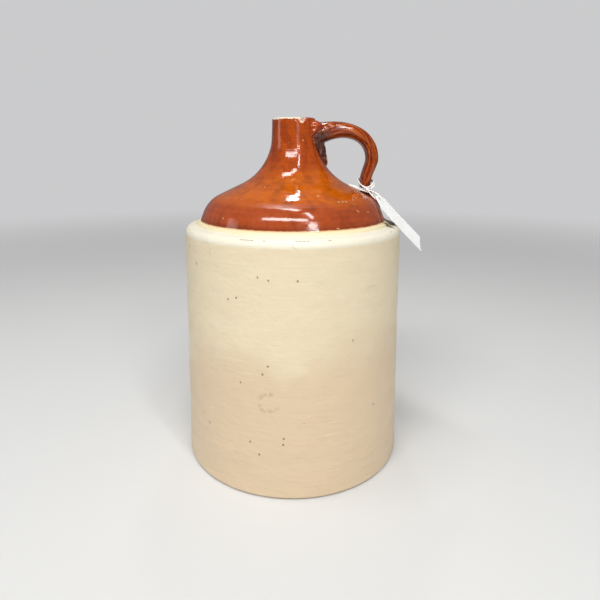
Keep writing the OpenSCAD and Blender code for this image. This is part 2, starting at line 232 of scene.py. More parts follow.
def colour(name, about, rgb):
    """A colour that the sidebar shows."""
    return bpy.props.FloatVectorProperty(
        name=name, description=about, default=rgb, min=0, max=1, size=3, subtype="COLOR"
    )


class ClaySizes(bpy.types.PropertyGroup):
    """Sizes of the thrown clay that the frame's boxes don't give."""

    wall_t: length("Wall", "Thickness of the body wall", 0.010)
    heel_round: length("Heel", "Rounding of the heel at the floor", 0.004)
    foot_rise: length("Foot rise", "How far the middle of the underside stands off the floor", 0.0012)
    ledge_drop: length("Ledge drop", "Drop of the ledge's outer corner below the seam", 0.0035)
    ledge_round: length("Ledge rounding", "Rounding of the ledge's outer corner", 0.009)
    ledge_t: length("Ledge", "Thickness of the ledge at its inner lip", 0.012)
    ledge_lip: length("Ledge lip", "How far the ledge reaches in past the shoulder's foot", 0.0025)
    dome_t: length("Shoulder wall", "Thickness of the shoulder wall", 0.009)
    bulge_r: length("Bulge radius", "Radius where the shoulder's side and slope would meet", 0.1155)
    bulge_rise: length("Bulge rise", "Height of that corner above the seam", 0.030)
    bulge_round: length("Bulge rounding", "Rounding of that corner", 0.043)
    throat_r: length("Throat radius", "Radius where the slope and the neck would meet", 0.0315)
    throat_rise: length("Throat rise", "Height of that corner above the seam", 0.072)
    throat_round: length("Throat rounding", "Curve from the slope to the neck", 0.075)
    mouth_r: length("Mouth radius", "Outside radius of the mouth", 0.029)
    bore_r: length("Bore radius", "Radius of the mouth's bore", 0.019)
    collar_proud: length("Collar", "How far the collar stands proud of the neck", 0.0003)
    lip_round: length("Lip rounding", "Rounding of the lip", 0.0025)
    lean: length("Neck lean", "How far the thrown neck leans towards the handle", 0.0022)


class HandleSizes(bpy.types.PropertyGroup):
    """Sizes of the pulled strap and of the clay wads at its ends."""

    reach: length("Reach", "Outermost point of the strap from the jug's axis", 0.118)
    root_drop: length("Root drop", "Upper end of the strap below the mouth", 0.025)
    root_in: length("Root depth", "How far outside the bore the strap starts", 0.005)
    root_pull: length("Root pull", "Pull of the arch away from the neck", 0.049)
    arch_rise: length("Arch rise", "Pull of the arch above its upper end", 0.022)
    bow_drop: length("Bow drop", "Outermost point below the mouth", 0.054)
    bow_up: length("Bow pull up", "Pull of the arch above the outermost point", 0.032)
    bow_down: length("Bow pull down", "Pull below the outermost point", 0.012)
    foot_at: length("Foot radius", "Lower end of the strap from the jug's axis", 0.1055)
    foot_in: length("Foot depth", "How deep the strap's lower end sits in the clay", 0.004)
    foot_back: length("Foot pull in", "Inward pull above the foot", 0.012)
    foot_up: length("Foot pull up", "Upward pull above the foot", 0.028)
    width: length("Width", "Strap width at the arch", 0.031)
    foot_width: length("Foot width", "Strap width just above the foot", 0.025)
    thick: length("Thickness", "Strap thickness at the arch", 0.019)
    foot_thick: length("Foot thickness", "Strap thickness just above the foot", 0.014)
    flare_t: length("Flare", "Extra thickness where the strap flares into the neck", 0.014)
    flare_w: length("Flare width", "Extra width where the strap flares into the neck", 0.004)
    groove: length("Groove depth", "Depth of the finger grooves along the strap", 0.0024)
    voxel: length("Grain", "Voxel in which strap and wads are blended", 0.0007)


class StringSizes(bpy.types.PropertyGroup):
    """Sizes of the string and of the paper tag."""

    string_d: length("String", "Diameter of the twisted string", 0.0021)
    twist: length("Twist", "Length of one full turn of the plies", 0.0042)
    knot_scale: length("Knot", "Size of the knot's bends", 0.00082)
    curl: length("Tag curl", "How far the tag's corners curl up", 0.0014)
    patch_w: length("Patch width", "Width of the ring of paper round the hole", 0.004)
    patch_t: length("Patch", "Thickness of the ring of paper", 0.0003)


class Finishes(bpy.types.PropertyGroup):
    """Colours of glaze, clay, string, paper and stage."""

    cream: colour("Cream glaze", "Main colour of the body's glaze", (0.80, 0.685, 0.475))
    # Painted light: cream painted paler on the ledge's up-facing top, and as a painted highlight round
    # pinholes.
    painted_light_cream: colour("Ledge painted light", "Cream painted paler as light on the ledge's top and round pinholes", (0.82, 0.765, 0.62))
    fillet_cream: colour("Fillet glaze", "Yellowish glaze on the fillet", (0.83, 0.72, 0.46))
    pink_tan: colour("Tan blush", "Blush of the glaze low on the body", (0.68, 0.48, 0.31))
    cloudy: colour("Cloudy glaze", "Greyer patches of the cream glaze", (0.60, 0.53, 0.36))
    # Foot shade is a painted contact shadow along the foot's edge.
    foot_shade: colour("Foot shade", "Painted contact shadow along the foot's edge", (0.16, 0.11, 0.07))
    speck: colour("Iron speck", "Iron specks and pinholes in the cream glaze", (0.16, 0.080, 0.025))
    rust: colour("Rust smudge", "Rusty smudges in the cream glaze", (0.42, 0.245, 0.085))
    # Olive is pooled glaze and also a painted shadow of the tag on the ledge.
    olive: colour("Olive glaze", "Glaze that pooled on the ledge, and painted shadow of the tag", (0.10, 0.055, 0.008))
    amber: colour("Amber glaze", "Brown glaze where it runs thin", (0.64, 0.140, 0.003))
    # Deep amber is also laid as painted shade under the handle's root.
    deep_amber: colour("Deep amber glaze", "Brown glaze of the collar", (0.42, 0.055, 0.001))
    red_brown: colour("Red brown glaze", "Brown glaze of the shoulder's bulge", (0.40, 0.066, 0.016))
    handle_brown: colour("Handle glaze", "Brown glaze of the handle", (0.22, 0.022, 0.001))
    # Dark glaze is also laid as painted shade inside the handle's arch and in the root's creases.
    dark_brown: colour("Dark glaze", "Brown glaze in grooves and pools", (0.060, 0.008, 0.003))
    # Pale flecks are also laid as painted highlights on the wrinkles of the handle's root.
    fleck_and_highlight: colour("Burst bubble", "Pale flecks in the brown glaze", (0.80, 0.50, 0.24))
    bare_clay: colour("Bare clay", "Fired clay without glaze", (0.60, 0.49, 0.34))
    chip: colour("Chipped clay", "Fresh clay in a chip or a worn rim", (0.85, 0.74, 0.55))
    string: colour("String", "Cotton string", (0.93, 0.92, 0.88))
    paper: colour("Paper", "Light card", (0.96, 0.955, 0.94))
    floor: colour("Floor", "Floor and backdrop", (0.72, 0.72, 0.71))
    backdrop: colour("Backdrop", "Pale backdrop behind the jug", (0.60, 0.60, 0.61))
    sky: colour("Studio", "Even light of the studio", (0.74, 0.75, 0.77))


def clay():
    return bpy.context.scene.jug_clay


def strap_sizes():
    return bpy.context.scene.jug_handle


def string_sizes():
    return bpy.context.scene.jug_string


def finishes():
    return bpy.context.scene.jug_finishes


# Lines and outlines

def around(radius, angle, z=0.0):
    """The point at a radius, at an angle round the axis and at a height."""
    return Vector((radius * math.cos(angle), radius * math.sin(angle), z))


def turns(count):
    """Evenly spaced angles round a circle."""
    return [math.tau * i / count for i in range(count)]


def rounded(points, radii, steps=14):
    """Open line through points, its inner corners rounded by the radii."""
    points = [Vector(p) for p in points]
    line = [points[0]]
    for a, b, c, radius in zip(points, points[1:], points[2:], radii):
        ways = (a - b).normalized(), (c - b).normalized()
        half = math.acos(ways[0].dot(ways[1])) / 2
        middle = b + (ways[0] + ways[1]).normalized() * radius / math.sin(half)
        start, end = [b + way * radius / math.tan(half) - middle for way in ways]
        first = math.atan2(start.y, start.x)
        turn = (math.atan2(end.y, end.x) - first + math.pi) % math.tau - math.pi
        for k in range(steps + 1):
            angle = first + turn * k / steps
            line.append(middle + radius * Vector((math.cos(angle), math.sin(angle))))
    return line + points[-1:]


def spread(line, step):
    """The same line with a point at least every step."""
    out = [line[0]]
    for a, b in zip(line, line[1:]):
        parts = max(1, math.ceil((b - a).length / step))
        out += [a.lerp(b, k / parts) for k in range(1, parts + 1)]
    return out


def arc(middle, radius, start, end, steps=8):
    """Arc round middle from one angle to the other, in degrees."""
    angles = [math.radians(start + (end - start) * k / steps) for k in range(steps + 1)]
    return [Vector(middle) + radius * Vector((math.cos(a), math.sin(a))) for a in angles]


def skin_line():
    """Outline of shoulder and neck as (radius, height), from the seam to the mouth."""
    c = clay()
    points = [
        (SEAM_R, SEAM_H),
        (c.bulge_r, SEAM_H + c.bulge_rise),
        (c.throat_r, SEAM_H + c.throat_rise),
        (c.mouth_r, JUG_H),
    ]
    return rounded(points, [c.bulge_round, c.throat_round])


def height_at(radius):
    """Height of the skin where it passes a radius."""
    line = skin_line()
    for a, b in zip(line, line[1:]):
        if b.x <= radius <= a.x and a.x > b.x:
            return a.y + (b.y - a.y) * (a.x - radius) / (a.x - b.x)
    raise ValueError(f"no skin at radius {radius}")


def radius_at(z):
    """Radius of the skin at a height."""
    line = skin_line()
    for a, b in zip(line, line[1:]):
        if a.y <= z <= b.y:
            return a.x + (b.x - a.x) * (z - a.y) / (b.y - a.y)
    raise ValueError(f"no skin at height {z}")


def smooth_step(x, low, high):
    t = min(1.0, max(0.0, (x - low) / (high - low)))
    return t * t * (3 - 2 * t)


def neck_shift(z):
    """Sideways lean of the thrown shoulder and neck at a height."""
    rise = smooth_step(z, SEAM_H + 0.030, SEAM_H + 0.065)
    return clay().lean * rise * (1 - 0.3 * smooth_step(z, COLLAR_Z - 0.02, JUG_H))


def smooth_route(points, steps):
    """Smooth line through the points, with steps between neighbours."""
    points = [Vector(p) for p in points]
    last = len(points) - 1
    line = []
    for i in range(last):
        a, b, c, d = points[max(0, i - 1)], points[i], points[i + 1], points[min(last, i + 2)]
        for k in range(steps):
            t = k / steps
            square = (2 * a - 5 * b + 4 * c - d) * t**2
            line.append(0.5 * (2 * b + (c - a) * t + square + (3 * b - a - 3 * c + d) * t**3))
    line.append(points[-1])
    return line


def route_length(line):
    return sum((b - a).length for a, b in zip(line, line[1:]))


# Meshes

def bands(rows, sides, closed=False):
    """Quads between each ring of points and the next, and from the last to the first if closed."""
    faces = []
    for i in range(rows if closed else rows - 1):
        below, above = i * sides, (i + 1) % rows * sides
        for j in range(sides):
            k = (j + 1) % sides
            faces.append((below + j, below + k, above + k, above + j))
    return faces


def capped(points, sides):
    """Points and faces of rings of points with a cap at each end."""
    last = len(points) - sides
    caps = [tuple(reversed(range(sides))), tuple(range(last, len(points)))]
    return points, bands(len(points) // sides, sides) + caps


def turned(loop, sides, shape=around):
    """Points and faces of a closed outline of (radius, height) turned round the axis.

    shape places each point, given its radius, angle and height."""
    points = [shape(radius, angle, z) for radius, z in loop for angle in turns(sides)]
    return points, bands(len(loop), sides, closed=True)


def tube(line, ring):
    """Points and faces of a closed tube along a line.

    ring gives the outline at a distance along the line, as (along side, along cross) pairs."""
    side = (line[1] - line[0]).normalized().orthogonal().normalized()
    points, travelled = [], 0.0
    for i, middle in enumerate(line):
        before, after = line[max(0, i - 1)], line[min(len(line) - 1, i + 1)]
        way = (after - before).normalized()
        side = (side - side.dot(way) * way).normalized()
        cross = way.cross(side)
        if i:
            travelled += (middle - line[i - 1]).length
        points += [middle + a * side + b * cross for a, b in ring(travelled)]
    return capped(points, len(points) // len(line))


def joined(parts):
    """Points and faces of several parts as one."""
    points, faces = [], []
    for part_points, part_faces in parts:
        faces += [tuple(len(points) + k for k in face) for face in part_faces]
        points += part_points
    return points, faces


def link(name, data):
    """A new object in the scene."""
    piece = bpy.data.objects.new(name, data)
    bpy.context.scene.collection.objects.link(piece)
    return piece


def clean(mesh, sharp):
    """Welds a mesh and makes it smooth but for edges sharper than the angle in degrees."""
    shape = bmesh.new()
    shape.from_mesh(mesh)
    bmesh.ops.remove_doubles(shape, verts=shape.verts, dist=1e-6)
    bmesh.ops.recalc_face_normals(shape, faces=shape.faces)
    shape.to_mesh(mesh)
    shape.free()
    mesh.shade_smooth()
    mesh.set_sharp_from_angle(angle=math.radians(sharp))


def build(name, shape, sharp=50):
    """Object of a shape's points and faces."""
    mesh = bpy.data.meshes.new(name)
    mesh.from_pydata([tuple(p) for p in shape[0]], [], shape[1])
    clean(mesh, sharp)
    return link(name, mesh)


def cut_away(piece, cutter, sharp):
    """Applies a piece's modifiers and takes the cutter's solid away from it."""
    cut = piece.modifiers.new("cut", "BOOLEAN")
    cut.operation, cut.solver, cut.object = "DIFFERENCE", "EXACT", cutter
    graph = bpy.context.evaluated_depsgraph_get()
    mesh = bpy.data.meshes.new_from_object(piece.evaluated_get(graph))
    piece.modifiers.clear()
    piece.data = mesh
    bpy.data.objects.remove(cutter)
    clean(mesh, sharp)


def dress(piece, finish, body, nodes):
    """Gives a piece its material and its place in the frame."""
    piece.data.materials.clear()
    piece.data.materials.append(material(finish))
    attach(piece, body)
    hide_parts(*nodes)


# Shader nodes

class Nodes:
    """Adds nodes to one shader tree. Its values are sockets or plain numbers."""

    def __init__(self, tree):
        self.tree = tree

    def feed(self, socket, value):
        if isinstance(value, bpy.types.NodeSocket):
            self.tree.links.new(value, socket)
        else:
            socket.default_value = value

    def add(self, kind, values=None, **settings):
        """Adds a node, sets its settings and fills its inputs."""
        added = self.tree.nodes.new("ShaderNode" + kind)
        for name, value in settings.items():
            setattr(added, name, value)
        for name, value in (values or {}).items():
            self.feed(added.inputs[name], value)
        return added

    def maths(self, operation, first, second, clamp=False):
        return self.add("Math", {0: first, 1: second}, operation=operation, use_clamp=clamp).outputs[0]

    def plus(self, first, second):
        return self.maths("ADD", first, second)

    def times(self, first, second):
        return self.maths("MULTIPLY", first, second)

    def rest(self, mask):
        """Where the mask isn't."""
        return self.maths("SUBTRACT", 1.0, mask)

    def pick(self, operation, first, *others):
        """The MINIMUM or MAXIMUM of several values."""
        for value in others:
            first = self.maths(operation, first, value)
        return first

    def vector(self, operation, first, second=(0, 0, 0)):
        return self.add("VectorMath", {0: first, 1: second}, operation=operation).outputs

    def ramp(self, value, low, high, to_low=0.0, to_high=1.0):
        """Smooth change from one value to another."""
        values = {"Value": value, "From Min": low, "From Max": high, "To Min": to_low, "To Max": to_high}
        return self.add("MapRange", values, interpolation_type="SMOOTHSTEP").outputs[0]

    def blend(self, factor, first, second):
        """Colour between two colours, each a socket or an RGB triple."""
        first, second = [c if isinstance(c, bpy.types.NodeSocket) else (*c, 1) for c in (first, second)]
        values = {0: factor, 6: first, 7: second}
        return self.add("Mix", values, data_type="RGBA", clamp_factor=True).outputs[2]

    def place(self):
        """Position on the piece, which is its position in the row's frame."""
        return self.add("TexCoord").outputs["Object"]

    def axis(self, label, vector=None):
        return self.add("SeparateXYZ", {0: vector or self.place()}).outputs[label]

    def grain(self, across, upward, detail=3.0, rough=0.5):
        """Noise with its own scale across the surface and up it."""
        scale = self.add("CombineXYZ", {"X": across, "Y": across, "Z": upward}).outputs[0]
        values = {"Vector": self.vector("MULTIPLY", self.place(), scale)[0], "Scale": 1.0}
        return self.add("TexNoise", {**values, "Detail": detail, "Roughness": rough}).outputs["Fac"]

    def group(self, name, **values):
        """Outputs of a shared shader group, which is built once and has its own values here."""
        tree = bpy.data.node_groups.get(name) or GROUPS[name](name)
        return self.add("Group", values, node_tree=tree).outputs

    def mottle(self, across, upward, low, high):
        return self.group("Mottle", Across=across, Upward=upward, Low=low, High=high)["Mask"]

    def spots(self, points, radius, soft, squash=1.0):
        """Mask of ragged spots at points on the surface; a squash over 1 flattens them to dashes."""
        stretch = Vector((1, 1, squash))
        where = self.vector("MULTIPLY", self.place(), stretch)[0]
        away = [self.vector("DISTANCE", where, point * stretch)["Value"] for point in points]
        ragged = self.times(self.grain(0.6 / radius, 0.6 / radius, 2.0), radius * 1.2)
        uneven = self.plus(self.pick("MINIMUM", *away), ragged)
        return self.ramp(uneven, radius, radius * (1.6 + soft), 1.0, 0.0)


class Group(Nodes):
    """An empty shader group with named float inputs, each with its default, and named float outputs."""

    def __init__(self, name, inputs, outputs):
        super().__init__(bpy.data.node_groups.new(name, "ShaderNodeTree"))
        sockets, kind = self.tree.interface, "NodeSocketFloat"
        for label, default in inputs.items():
            sockets.new_socket(label, in_out="INPUT", socket_type=kind).default_value = default
        for label in outputs:
            sockets.new_socket(label, in_out="OUTPUT", socket_type=kind)
        self.given = self.tree.nodes.new("NodeGroupInput").outputs
        self.out = self.tree.nodes.new("NodeGroupOutput").inputs


def throwing_lines(name):
    """Height of the fine rings that the potter's fingers leave."""
    g = Group(name, {"Across": 6.0, "Upward": 500.0}, ["Height"])
    fine = g.grain(g.given["Across"], g.given["Upward"], 4.0, 0.6)
    patchy = g.ramp(g.grain(9.0, 14.0, 2.0), 0.35, 0.65, 0.25, 1.0)
    broad = g.times(g.grain(5.0, 90.0, 2.0), 1.6)
    g.feed(g.out["Height"], g.plus(g.times(fine, patchy), broad))
    return g.tree


def pinholes(name):
    """Masks of small pits in a glaze and of the rings round them."""
    g = Group(name, {"Scale": 90.0, "Size": 0.1, "Share": 0.2}, ["Pit", "Ring"])
    cells = g.add("TexVoronoi", {"Vector": g.place(), "Scale": g.given["Scale"]}).outputs
    shade = g.add("SeparateColor", {0: cells["Color"]}).outputs["Red"]
    chosen = g.maths("LESS_THAN", shade, g.given["Share"])
    reach = g.maths("DIVIDE", cells["Distance"], g.given["Size"])
    pit = g.times(g.ramp(reach, 0.7, 1.1, 1.0, 0.0), chosen)
    ring = g.times(g.ramp(reach, 1.2, 2.6, 1.0, 0.0), chosen)
    g.feed(g.out["Pit"], pit)
    g.feed(g.out["Ring"], g.maths("SUBTRACT", ring, pit, clamp=True))
    return g.tree


def mottle(name):
    """Soft uneven patches, wider than they are high when Upward is the larger scale."""
    g = Group(name, {"Across": 8.0, "Upward": 8.0, "Low": 0.35, "High": 0.65}, ["Mask"])
    cloud = g.grain(g.given["Across"], g.given["Upward"], 3.0, 0.55)
    limits = {"From Min": g.given["Low"], "From Max": g.given["High"], "To Min": 0.0, "To Max": 1.0}
    g.feed(g.out["Mask"], g.add("MapRange", {"Value": cloud, **limits}).outputs[0])
    return g.tree


GROUPS = {"Throwing lines": throwing_lines, "Pinholes": pinholes, "Mottle": mottle}


class Finish(Nodes):
    """A material in the making, with the colour laid on it so far."""

    def __init__(self, name, base):
        self.material = bpy.data.materials.new(name)
        self.material.use_nodes = True
        super().__init__(self.material.node_tree)
        self.shader = self.tree.nodes["Principled BSDF"]
        self.base = base

    def lay(self, over, mask, share=1):
        """Lays a colour over the others by a share of the mask."""
        self.base = self.blend(mask if share == 1 else self.times(mask, share), self.base, over)

    def done(self, roughness, bumps=(), **plain):
        """Feeds the shader its colour, its roughness, bumps of (height, distance) and plain values."""
        inputs = self.shader.inputs
        self.feed(inputs["Base Color"], self.base)
        self.feed(inputs["Roughness"], roughness)
        for label, value in plain.items():
            inputs[label.replace("_", " ")].default_value = value
        stack = {}
        for height, distance in bumps:
            added = self.add("Bump", {"Height": height, "Distance": distance, **stack})
            stack = {"Normal": added.outputs[0]}
        if stack:
            self.feed(inputs["Normal"], stack["Normal"])
        return self.material


def on_body(angle, z):
    return around(BODY_R, math.radians(angle), z)


def on_ledge(angle):
    """A point where the ledge turns over its outer rounding."""
    return around(LEDGE_TURN[0], math.radians(angle), LEDGE_TURN[1])


def on_skin(angle, z):
    return leaning(radius_at(z), math.radians(angle), z)


def cream_glaze(name):
    """Cream slip glaze of body, ledge and fillet."""
    f = finishes()
    g = Finish(name, f.cream)
    z = g.axis("Z")
    cloud = g.mottle(7, 9, 0.32, 0.68)
    tongue = g.spots([on_body(*CREAM_TONGUE)], 0.031, 0.15, 0.75)
    blush = g.ramp(g.plus(z, g.times(cloud, 0.05)), 0.232, 0.158)
    blush = g.times(blush, g.rest(g.times(tongue, 0.8)))
    g.lay(f.pink_tan, blush, 0.60)
    g.lay(f.cloudy, g.rest(cloud), 0.14)
    g.lay(f.pink_tan, g.mottle(12, 60, 0.3, 0.7), 0.10)
    g.lay(f.cloudy, g.mottle(70, 90, 0.35, 0.7), 0.10)
    # The ledge's top is painted paler, as painted light from above.
    g.lay(f.painted_light_cream, g.ramp(z, SEAM_H - 0.0135, SEAM_H - 0.0095))
    g.lay(f.fillet_cream, g.ramp(z, SEAM_H - 0.0005, SEAM_H + 0.0012))
    # Painted contact shadow along the foot's edge, darkest at the floor.
    g.lay(f.foot_shade, g.ramp(z, 0.0028, 0.0012))
    holes = g.group("Pinholes", Scale=62, Size=0.05, Share=0.22)
    # Pale rings round the pinholes are painted highlights.
    g.lay(f.painted_light_cream, holes["Ring"], 0.2)
    g.lay(f.speck, holes["Pit"], 0.4)
    set_holes = g.spots([on_body(*p) for p in CREAM_PINHOLES], 0.0010, 0.6, 0.8)
    g.lay(f.speck, set_holes, 0.85)
    smudges = g.spots([on_body(*p) for p in CREAM_SMUDGES], 0.0012, 2.4, 1.1)
    g.lay(f.rust, g.times(smudges, g.mottle(300, 420, 0.38, 0.62)), 0.55)
    hairlines = g.spots([on_ledge(a) for a in LEDGE_HAIRLINES], 0.0021, 0.5, 4.5)
    cracks = g.spots(LEDGE_CRACK + [on_body(*p) for p in CREAM_HAIRLINES], 0.0006, 0.6)
    g.lay(f.speck, g.pick("MAXIMUM", hairlines, cracks), 0.65)
    # Olive pooled glaze on the ledge, partly a painted shadow of the tag.
    g.lay(f.olive, g.spots(POOLED_AND_TAG_SHADOW_SPOTS, 0.0068, 0.7, 0.7), 0.9)
    patches = g.mottle(11, 15, 0.40, 0.62)
    lines = g.times(g.group("Throwing lines", Across=5, Upward=380)["Height"], patches)
    ripples = g.times(g.grain(70, 190, 2.5), g.rest(patches))
    low_lumps = g.times(g.grain(110, 130, 2), g.times(g.ramp(z, 0.15, 0.03), patches))
    pits = g.pick("MAXIMUM", holes["Pit"], set_holes)
    bumps = [
        (lines, 0.00052), (g.grain(38, 46), 0.0013), (ripples, 0.00062), (low_lumps, 0.0010),
        (g.grain(420, 420, 2), 0.00005), (g.rest(pits), 0.0005),
    ]
    return g.done(g.ramp(g.grain(30, 60), 0.3, 0.7, 0.30, 0.46), bumps, IOR=1.48)


def pulled_strands(g):
    """Mask of strands that run along the pulled strap, round the hollow under its arch."""
    offset = g.vector("SUBTRACT", g.place(), HANDLE_HOLLOW)[0]
    away = g.vector("LENGTH", g.vector("MULTIPLY", offset, (1, 0, 0.8))[0])["Value"]
    wander = g.times(g.grain(45, 45, 1), 0.8)
    strand = {"X": g.times(away, 420), "Y": g.times(g.axis("Y", offset), 300), "Z": wander}
    where = g.add("CombineXYZ", strand).outputs[0]
    strands = g.add("TexNoise", {"Vector": where, "Scale": 1.0, "Detail": 2.0}).outputs["Fac"]
    return g.ramp(strands, 0.46, 0.64)


def lay_handle_colours(g, f, z):
    """Strands, painted shade on the arch's inner side and underside, the wrinkled root darkened by pooled
    glaze and painted shade in its creases, with pale flecks as painted highlights on its wrinkles, and the
    redder foot.
    """
    g.lay(f.amber, pulled_strands(g), 0.6)
    # Painted shade on the arch's inner side and underside, round the hollow.
    g.lay(f.dark_brown, g.spots([HANDLE_HOLLOW], 0.0235, 0.0, 1.25), 0.7)
    g.lay(f.deep_amber, g.ramp(g.axis("X"), 0.040, 0.028), 0.8)
    root = g.spots(WRINKLED_ROOT, 0.0095, 0.8, 0.8)
    # Dark pooled glaze on the wrinkled root, with painted shade in its creases.
    g.lay(f.dark_brown, root, 0.8)
    # Pale flecks on the root's wrinkles are painted highlights.
    g.lay(f.fleck_and_highlight, g.times(root, g.mottle(340, 240, 0.55, 0.63)), 0.8)
    g.lay(f.red_brown, g.ramp(z, 0.356, 0.346), 0.5)


def lay_shoulder_colours(g, f, rising, cloud):
    """Smoky collar, red brown bulge, runs and drips, and painted shade under the root."""
    collar = g.ramp(rising, 0.380, 0.404)
    g.lay(f.deep_amber, collar, 0.75)
    g.lay(f.handle_brown, g.times(g.mottle(95, 48, 0.46, 0.60), collar), 0.55)
    g.lay(f.deep_amber, cloud, 0.35)
    g.lay(f.red_brown, g.ramp(rising, 0.3625, 0.3500), 0.92)
    g.lay(f.deep_amber, g.mottle(85, 6, 0.45, 0.72), 0.4)
    g.lay(f.dark_brown, g.mottle(60, 9, 0.52, 0.70), 0.35)
    # Painted shade on the neck under the handle's root.
    g.lay(f.deep_amber, g.spots(SHADE_UNDER_ROOT, 0.010, 0.8, 0.6), 0.6)


def brown_glaze(name):
    """Glossy brown slip glaze, of the pulled handle or of the thrown shoulder and neck."""
    f = finishes()
    pulled = name == "handle_slip_glaze"
    g = Finish(name, f.handle_brown if pulled else f.amber)
    z = g.axis("Z")
    cloud = g.mottle(14, 16, 0.3, 0.7)
    fine = g.mottle(160, 260, 0.3, 0.7)
    rings = g.mottle(8, 330, 0.3, 0.7)
    if pulled:
        lay_handle_colours(g, f, z)
    else:
        rising = g.plus(g.plus(z, g.times(cloud, 0.010)), g.times(rings, 0.005))
        lay_shoulder_colours(g, f, rising, cloud)
    g.lay(f.dark_brown, g.times(rings, cloud), 0.32)
    g.lay(f.dark_brown, fine, 0.20)
    g.lay(f.dark_brown, g.spots(DARK_POOLS, 0.009, 0.8), 0.85)
    g.lay(f.dark_brown, g.ramp(z, SEAM_H + 0.0110, SEAM_H + 0.0060), 0.4)
    drip = g.plus(z, g.times(fine, 0.0008))
    g.lay(f.fleck_and_highlight, g.ramp(drip, SEAM_H + 0.0060, SEAM_H + 0.0048), 0.85)
    holes = g.group("Pinholes", Scale=120, Size=0.07, Share=0.10)
    flecks = g.spots([on_skin(*p) for p in BROWN_FLECKS], 0.0008, 0.9)
    dashes = g.spots([on_skin(*p) for p in BROWN_DASHES], 0.0016, 0.8, 3.5)
    pale = g.pick("MAXIMUM", flecks, dashes, g.times(holes["Pit"], 0.4))
    g.lay(f.fleck_and_highlight, pale, 0.75)
    rim = g.plus(z, g.times(g.grain(180, 180), 0.0062))
    rim = g.times(g.ramp(rim, JUG_H + 0.0004, JUG_H + 0.0011), g.ramp(g.axis("X"), 0.016, 0.006))
    g.lay(f.chip, rim, 0.85)
    chip = g.spots(CHIPS, 0.0029, 0.2)
    g.lay(f.chip, chip)
    thin_bend = g.ramp(z, SEAM_H + 0.0290, SEAM_H + 0.0305)
    thin_bend = g.times(thin_bend, g.ramp(z, SEAM_H + 0.0360, SEAM_H + 0.0340))
    dull = g.pick("MAXIMUM", chip, rim, g.times(thin_bend, 0.45))
    polish = g.ramp(g.grain(60, 60), 0.3, 0.7, 0.05, 0.12)
    rough = g.add("Mix", {0: dull, 2: polish, 3: 0.6}, data_type="FLOAT").outputs[0]
    bumps = [
        (g.group("Throwing lines", Across=8, Upward=300)["Height"], 0.00012),
        (g.grain(42, 46, 2), 0.00015 if pulled else 0.0005),
        (g.grain(150, 150), 0.00006),
        (g.rest(pale), 0.0004),
    ]
    return g.done(rough, bumps, IOR=1.5, Specular_IOR_Level=0.60)


def bare_clay(name):
    """Unglazed fired clay of the inside and the underside."""
    f = finishes()
    g = Finish(name, f.bare_clay)
    g.lay(f.pink_tan, g.mottle(30, 30, 0.3, 0.7), 0.35)
    g.lay(f.speck, g.group("Pinholes", Scale=320, Size=0.25, Share=0.3)["Pit"], 0.5)
    return g.done(0.9, [(g.grain(500, 500, 4), 0.00025)])


def cotton(name):
    """Twisted cotton of string and knot."""
    g = Finish(name, finishes().string)
    fibre = g.grain(2600, 1600, 4, 0.7)
    g.lay((0.74, 0.70, 0.62), g.ramp(fibre, 0.35, 0.75, 0.0, 0.3))
    return g.done(0.92, [(fibre, 0.00012)], Sheen_Weight=0.3)


def card(name):
    """Light card of the tag and its patches."""
    g = Finish(name, finishes().paper)
    fibre = g.grain(900, 700, 5, 0.65)
    g.lay((0.72, 0.69, 0.62), g.ramp(fibre, 0.4, 0.7, 0.0, 0.12))
    g.lay((0.78, 0.72, 0.60), g.mottle(45, 45, 0.45, 0.75), 0.12)
    return g.done(0.72, [(fibre, 0.00005), (g.grain(60, 60, 2), 0.0004)])


def studio_floor(name):
    """Pale matt floor. Further off it turns into an even backdrop, dimmer in reflections."""
    g = Finish(name, finishes().floor)
    g.lay((0.6, 0.6, 0.6), g.ramp(g.grain(3, 3, 2), 0.3, 0.7, 0.0, 0.03))
    rays = g.add("LightPath").outputs
    glossy = rays["Is Glossy Ray"]
    strength = g.rest(g.times(glossy, 0.65))
    glow = g.add("Emission", {"Color": (*finishes().backdrop, 1), "Strength": strength})
    seen = g.pick("MAXIMUM", rays["Is Camera Ray"], glossy, rays["Is Transmission Ray"])
    far = g.times(seen, g.ramp(g.vector("LENGTH", g.place())["Value"], 0.8, 3.2))
    both = g.add("MixShader", {0: far, 1: g.shader.outputs[0], 2: glow.outputs[0]})
    g.feed(g.tree.nodes["Material Output"].inputs["Surface"], both.outputs[0])
    return g.done(0.9)


MATERIALS = {
    "cream_slip_glaze": cream_glaze,
    "brown_slip_glaze": brown_glaze,
    "handle_slip_glaze": brown_glaze,
    "fired_clay": bare_clay,
    "cotton_string": cotton,
    "tag_card": card,
    "studio_floor": studio_floor,
}


def material(name):
    """The material of that name, built once."""
    return bpy.data.materials.get(name) or MATERIALS[name](name)


# Stage

CAMERA_TURN = 5.0
CAMERA_PITCH = 8.03
CAMERA_DISTANCE = 0.6901
CAMERA_HEIGHT = 0.4089
FOCAL_PIXELS = 502.0
FRAME_PIXELS = 600.0
CENTRE_PIXEL = (292.65, 223.5)
SENSOR = 36.0


# Lamps: name, place, width, depth and watts
LAMPS = [
    ("lamp_front", (-0.67, -2.10, 2.40), 2.70, 0.50, 63.0),
    ("lamp_top", (-0.25, -0.26, 2.40), 1.15, 0.24, 13.0),
    ("lamp_back", (0.12, 1.18, 2.40), 0.22, 0.13, 3.6),
    ("lamp_behind_camera", (1.20, -3.20, 2.40), 0.85, 0.24, 13.0),
    ("lamp_right", (0.62, -1.35, 2.40), 0.18, 1.00, 10.0),
    ("lamp_left", (-3.00, -0.30, 1.05), 0.85, 1.15, 5.0),
    ("lamp_neck", (0.98, -2.95, 1.35), 0.70, 1.50, 5.5),
]
WORLD_STRENGTH = 0.31
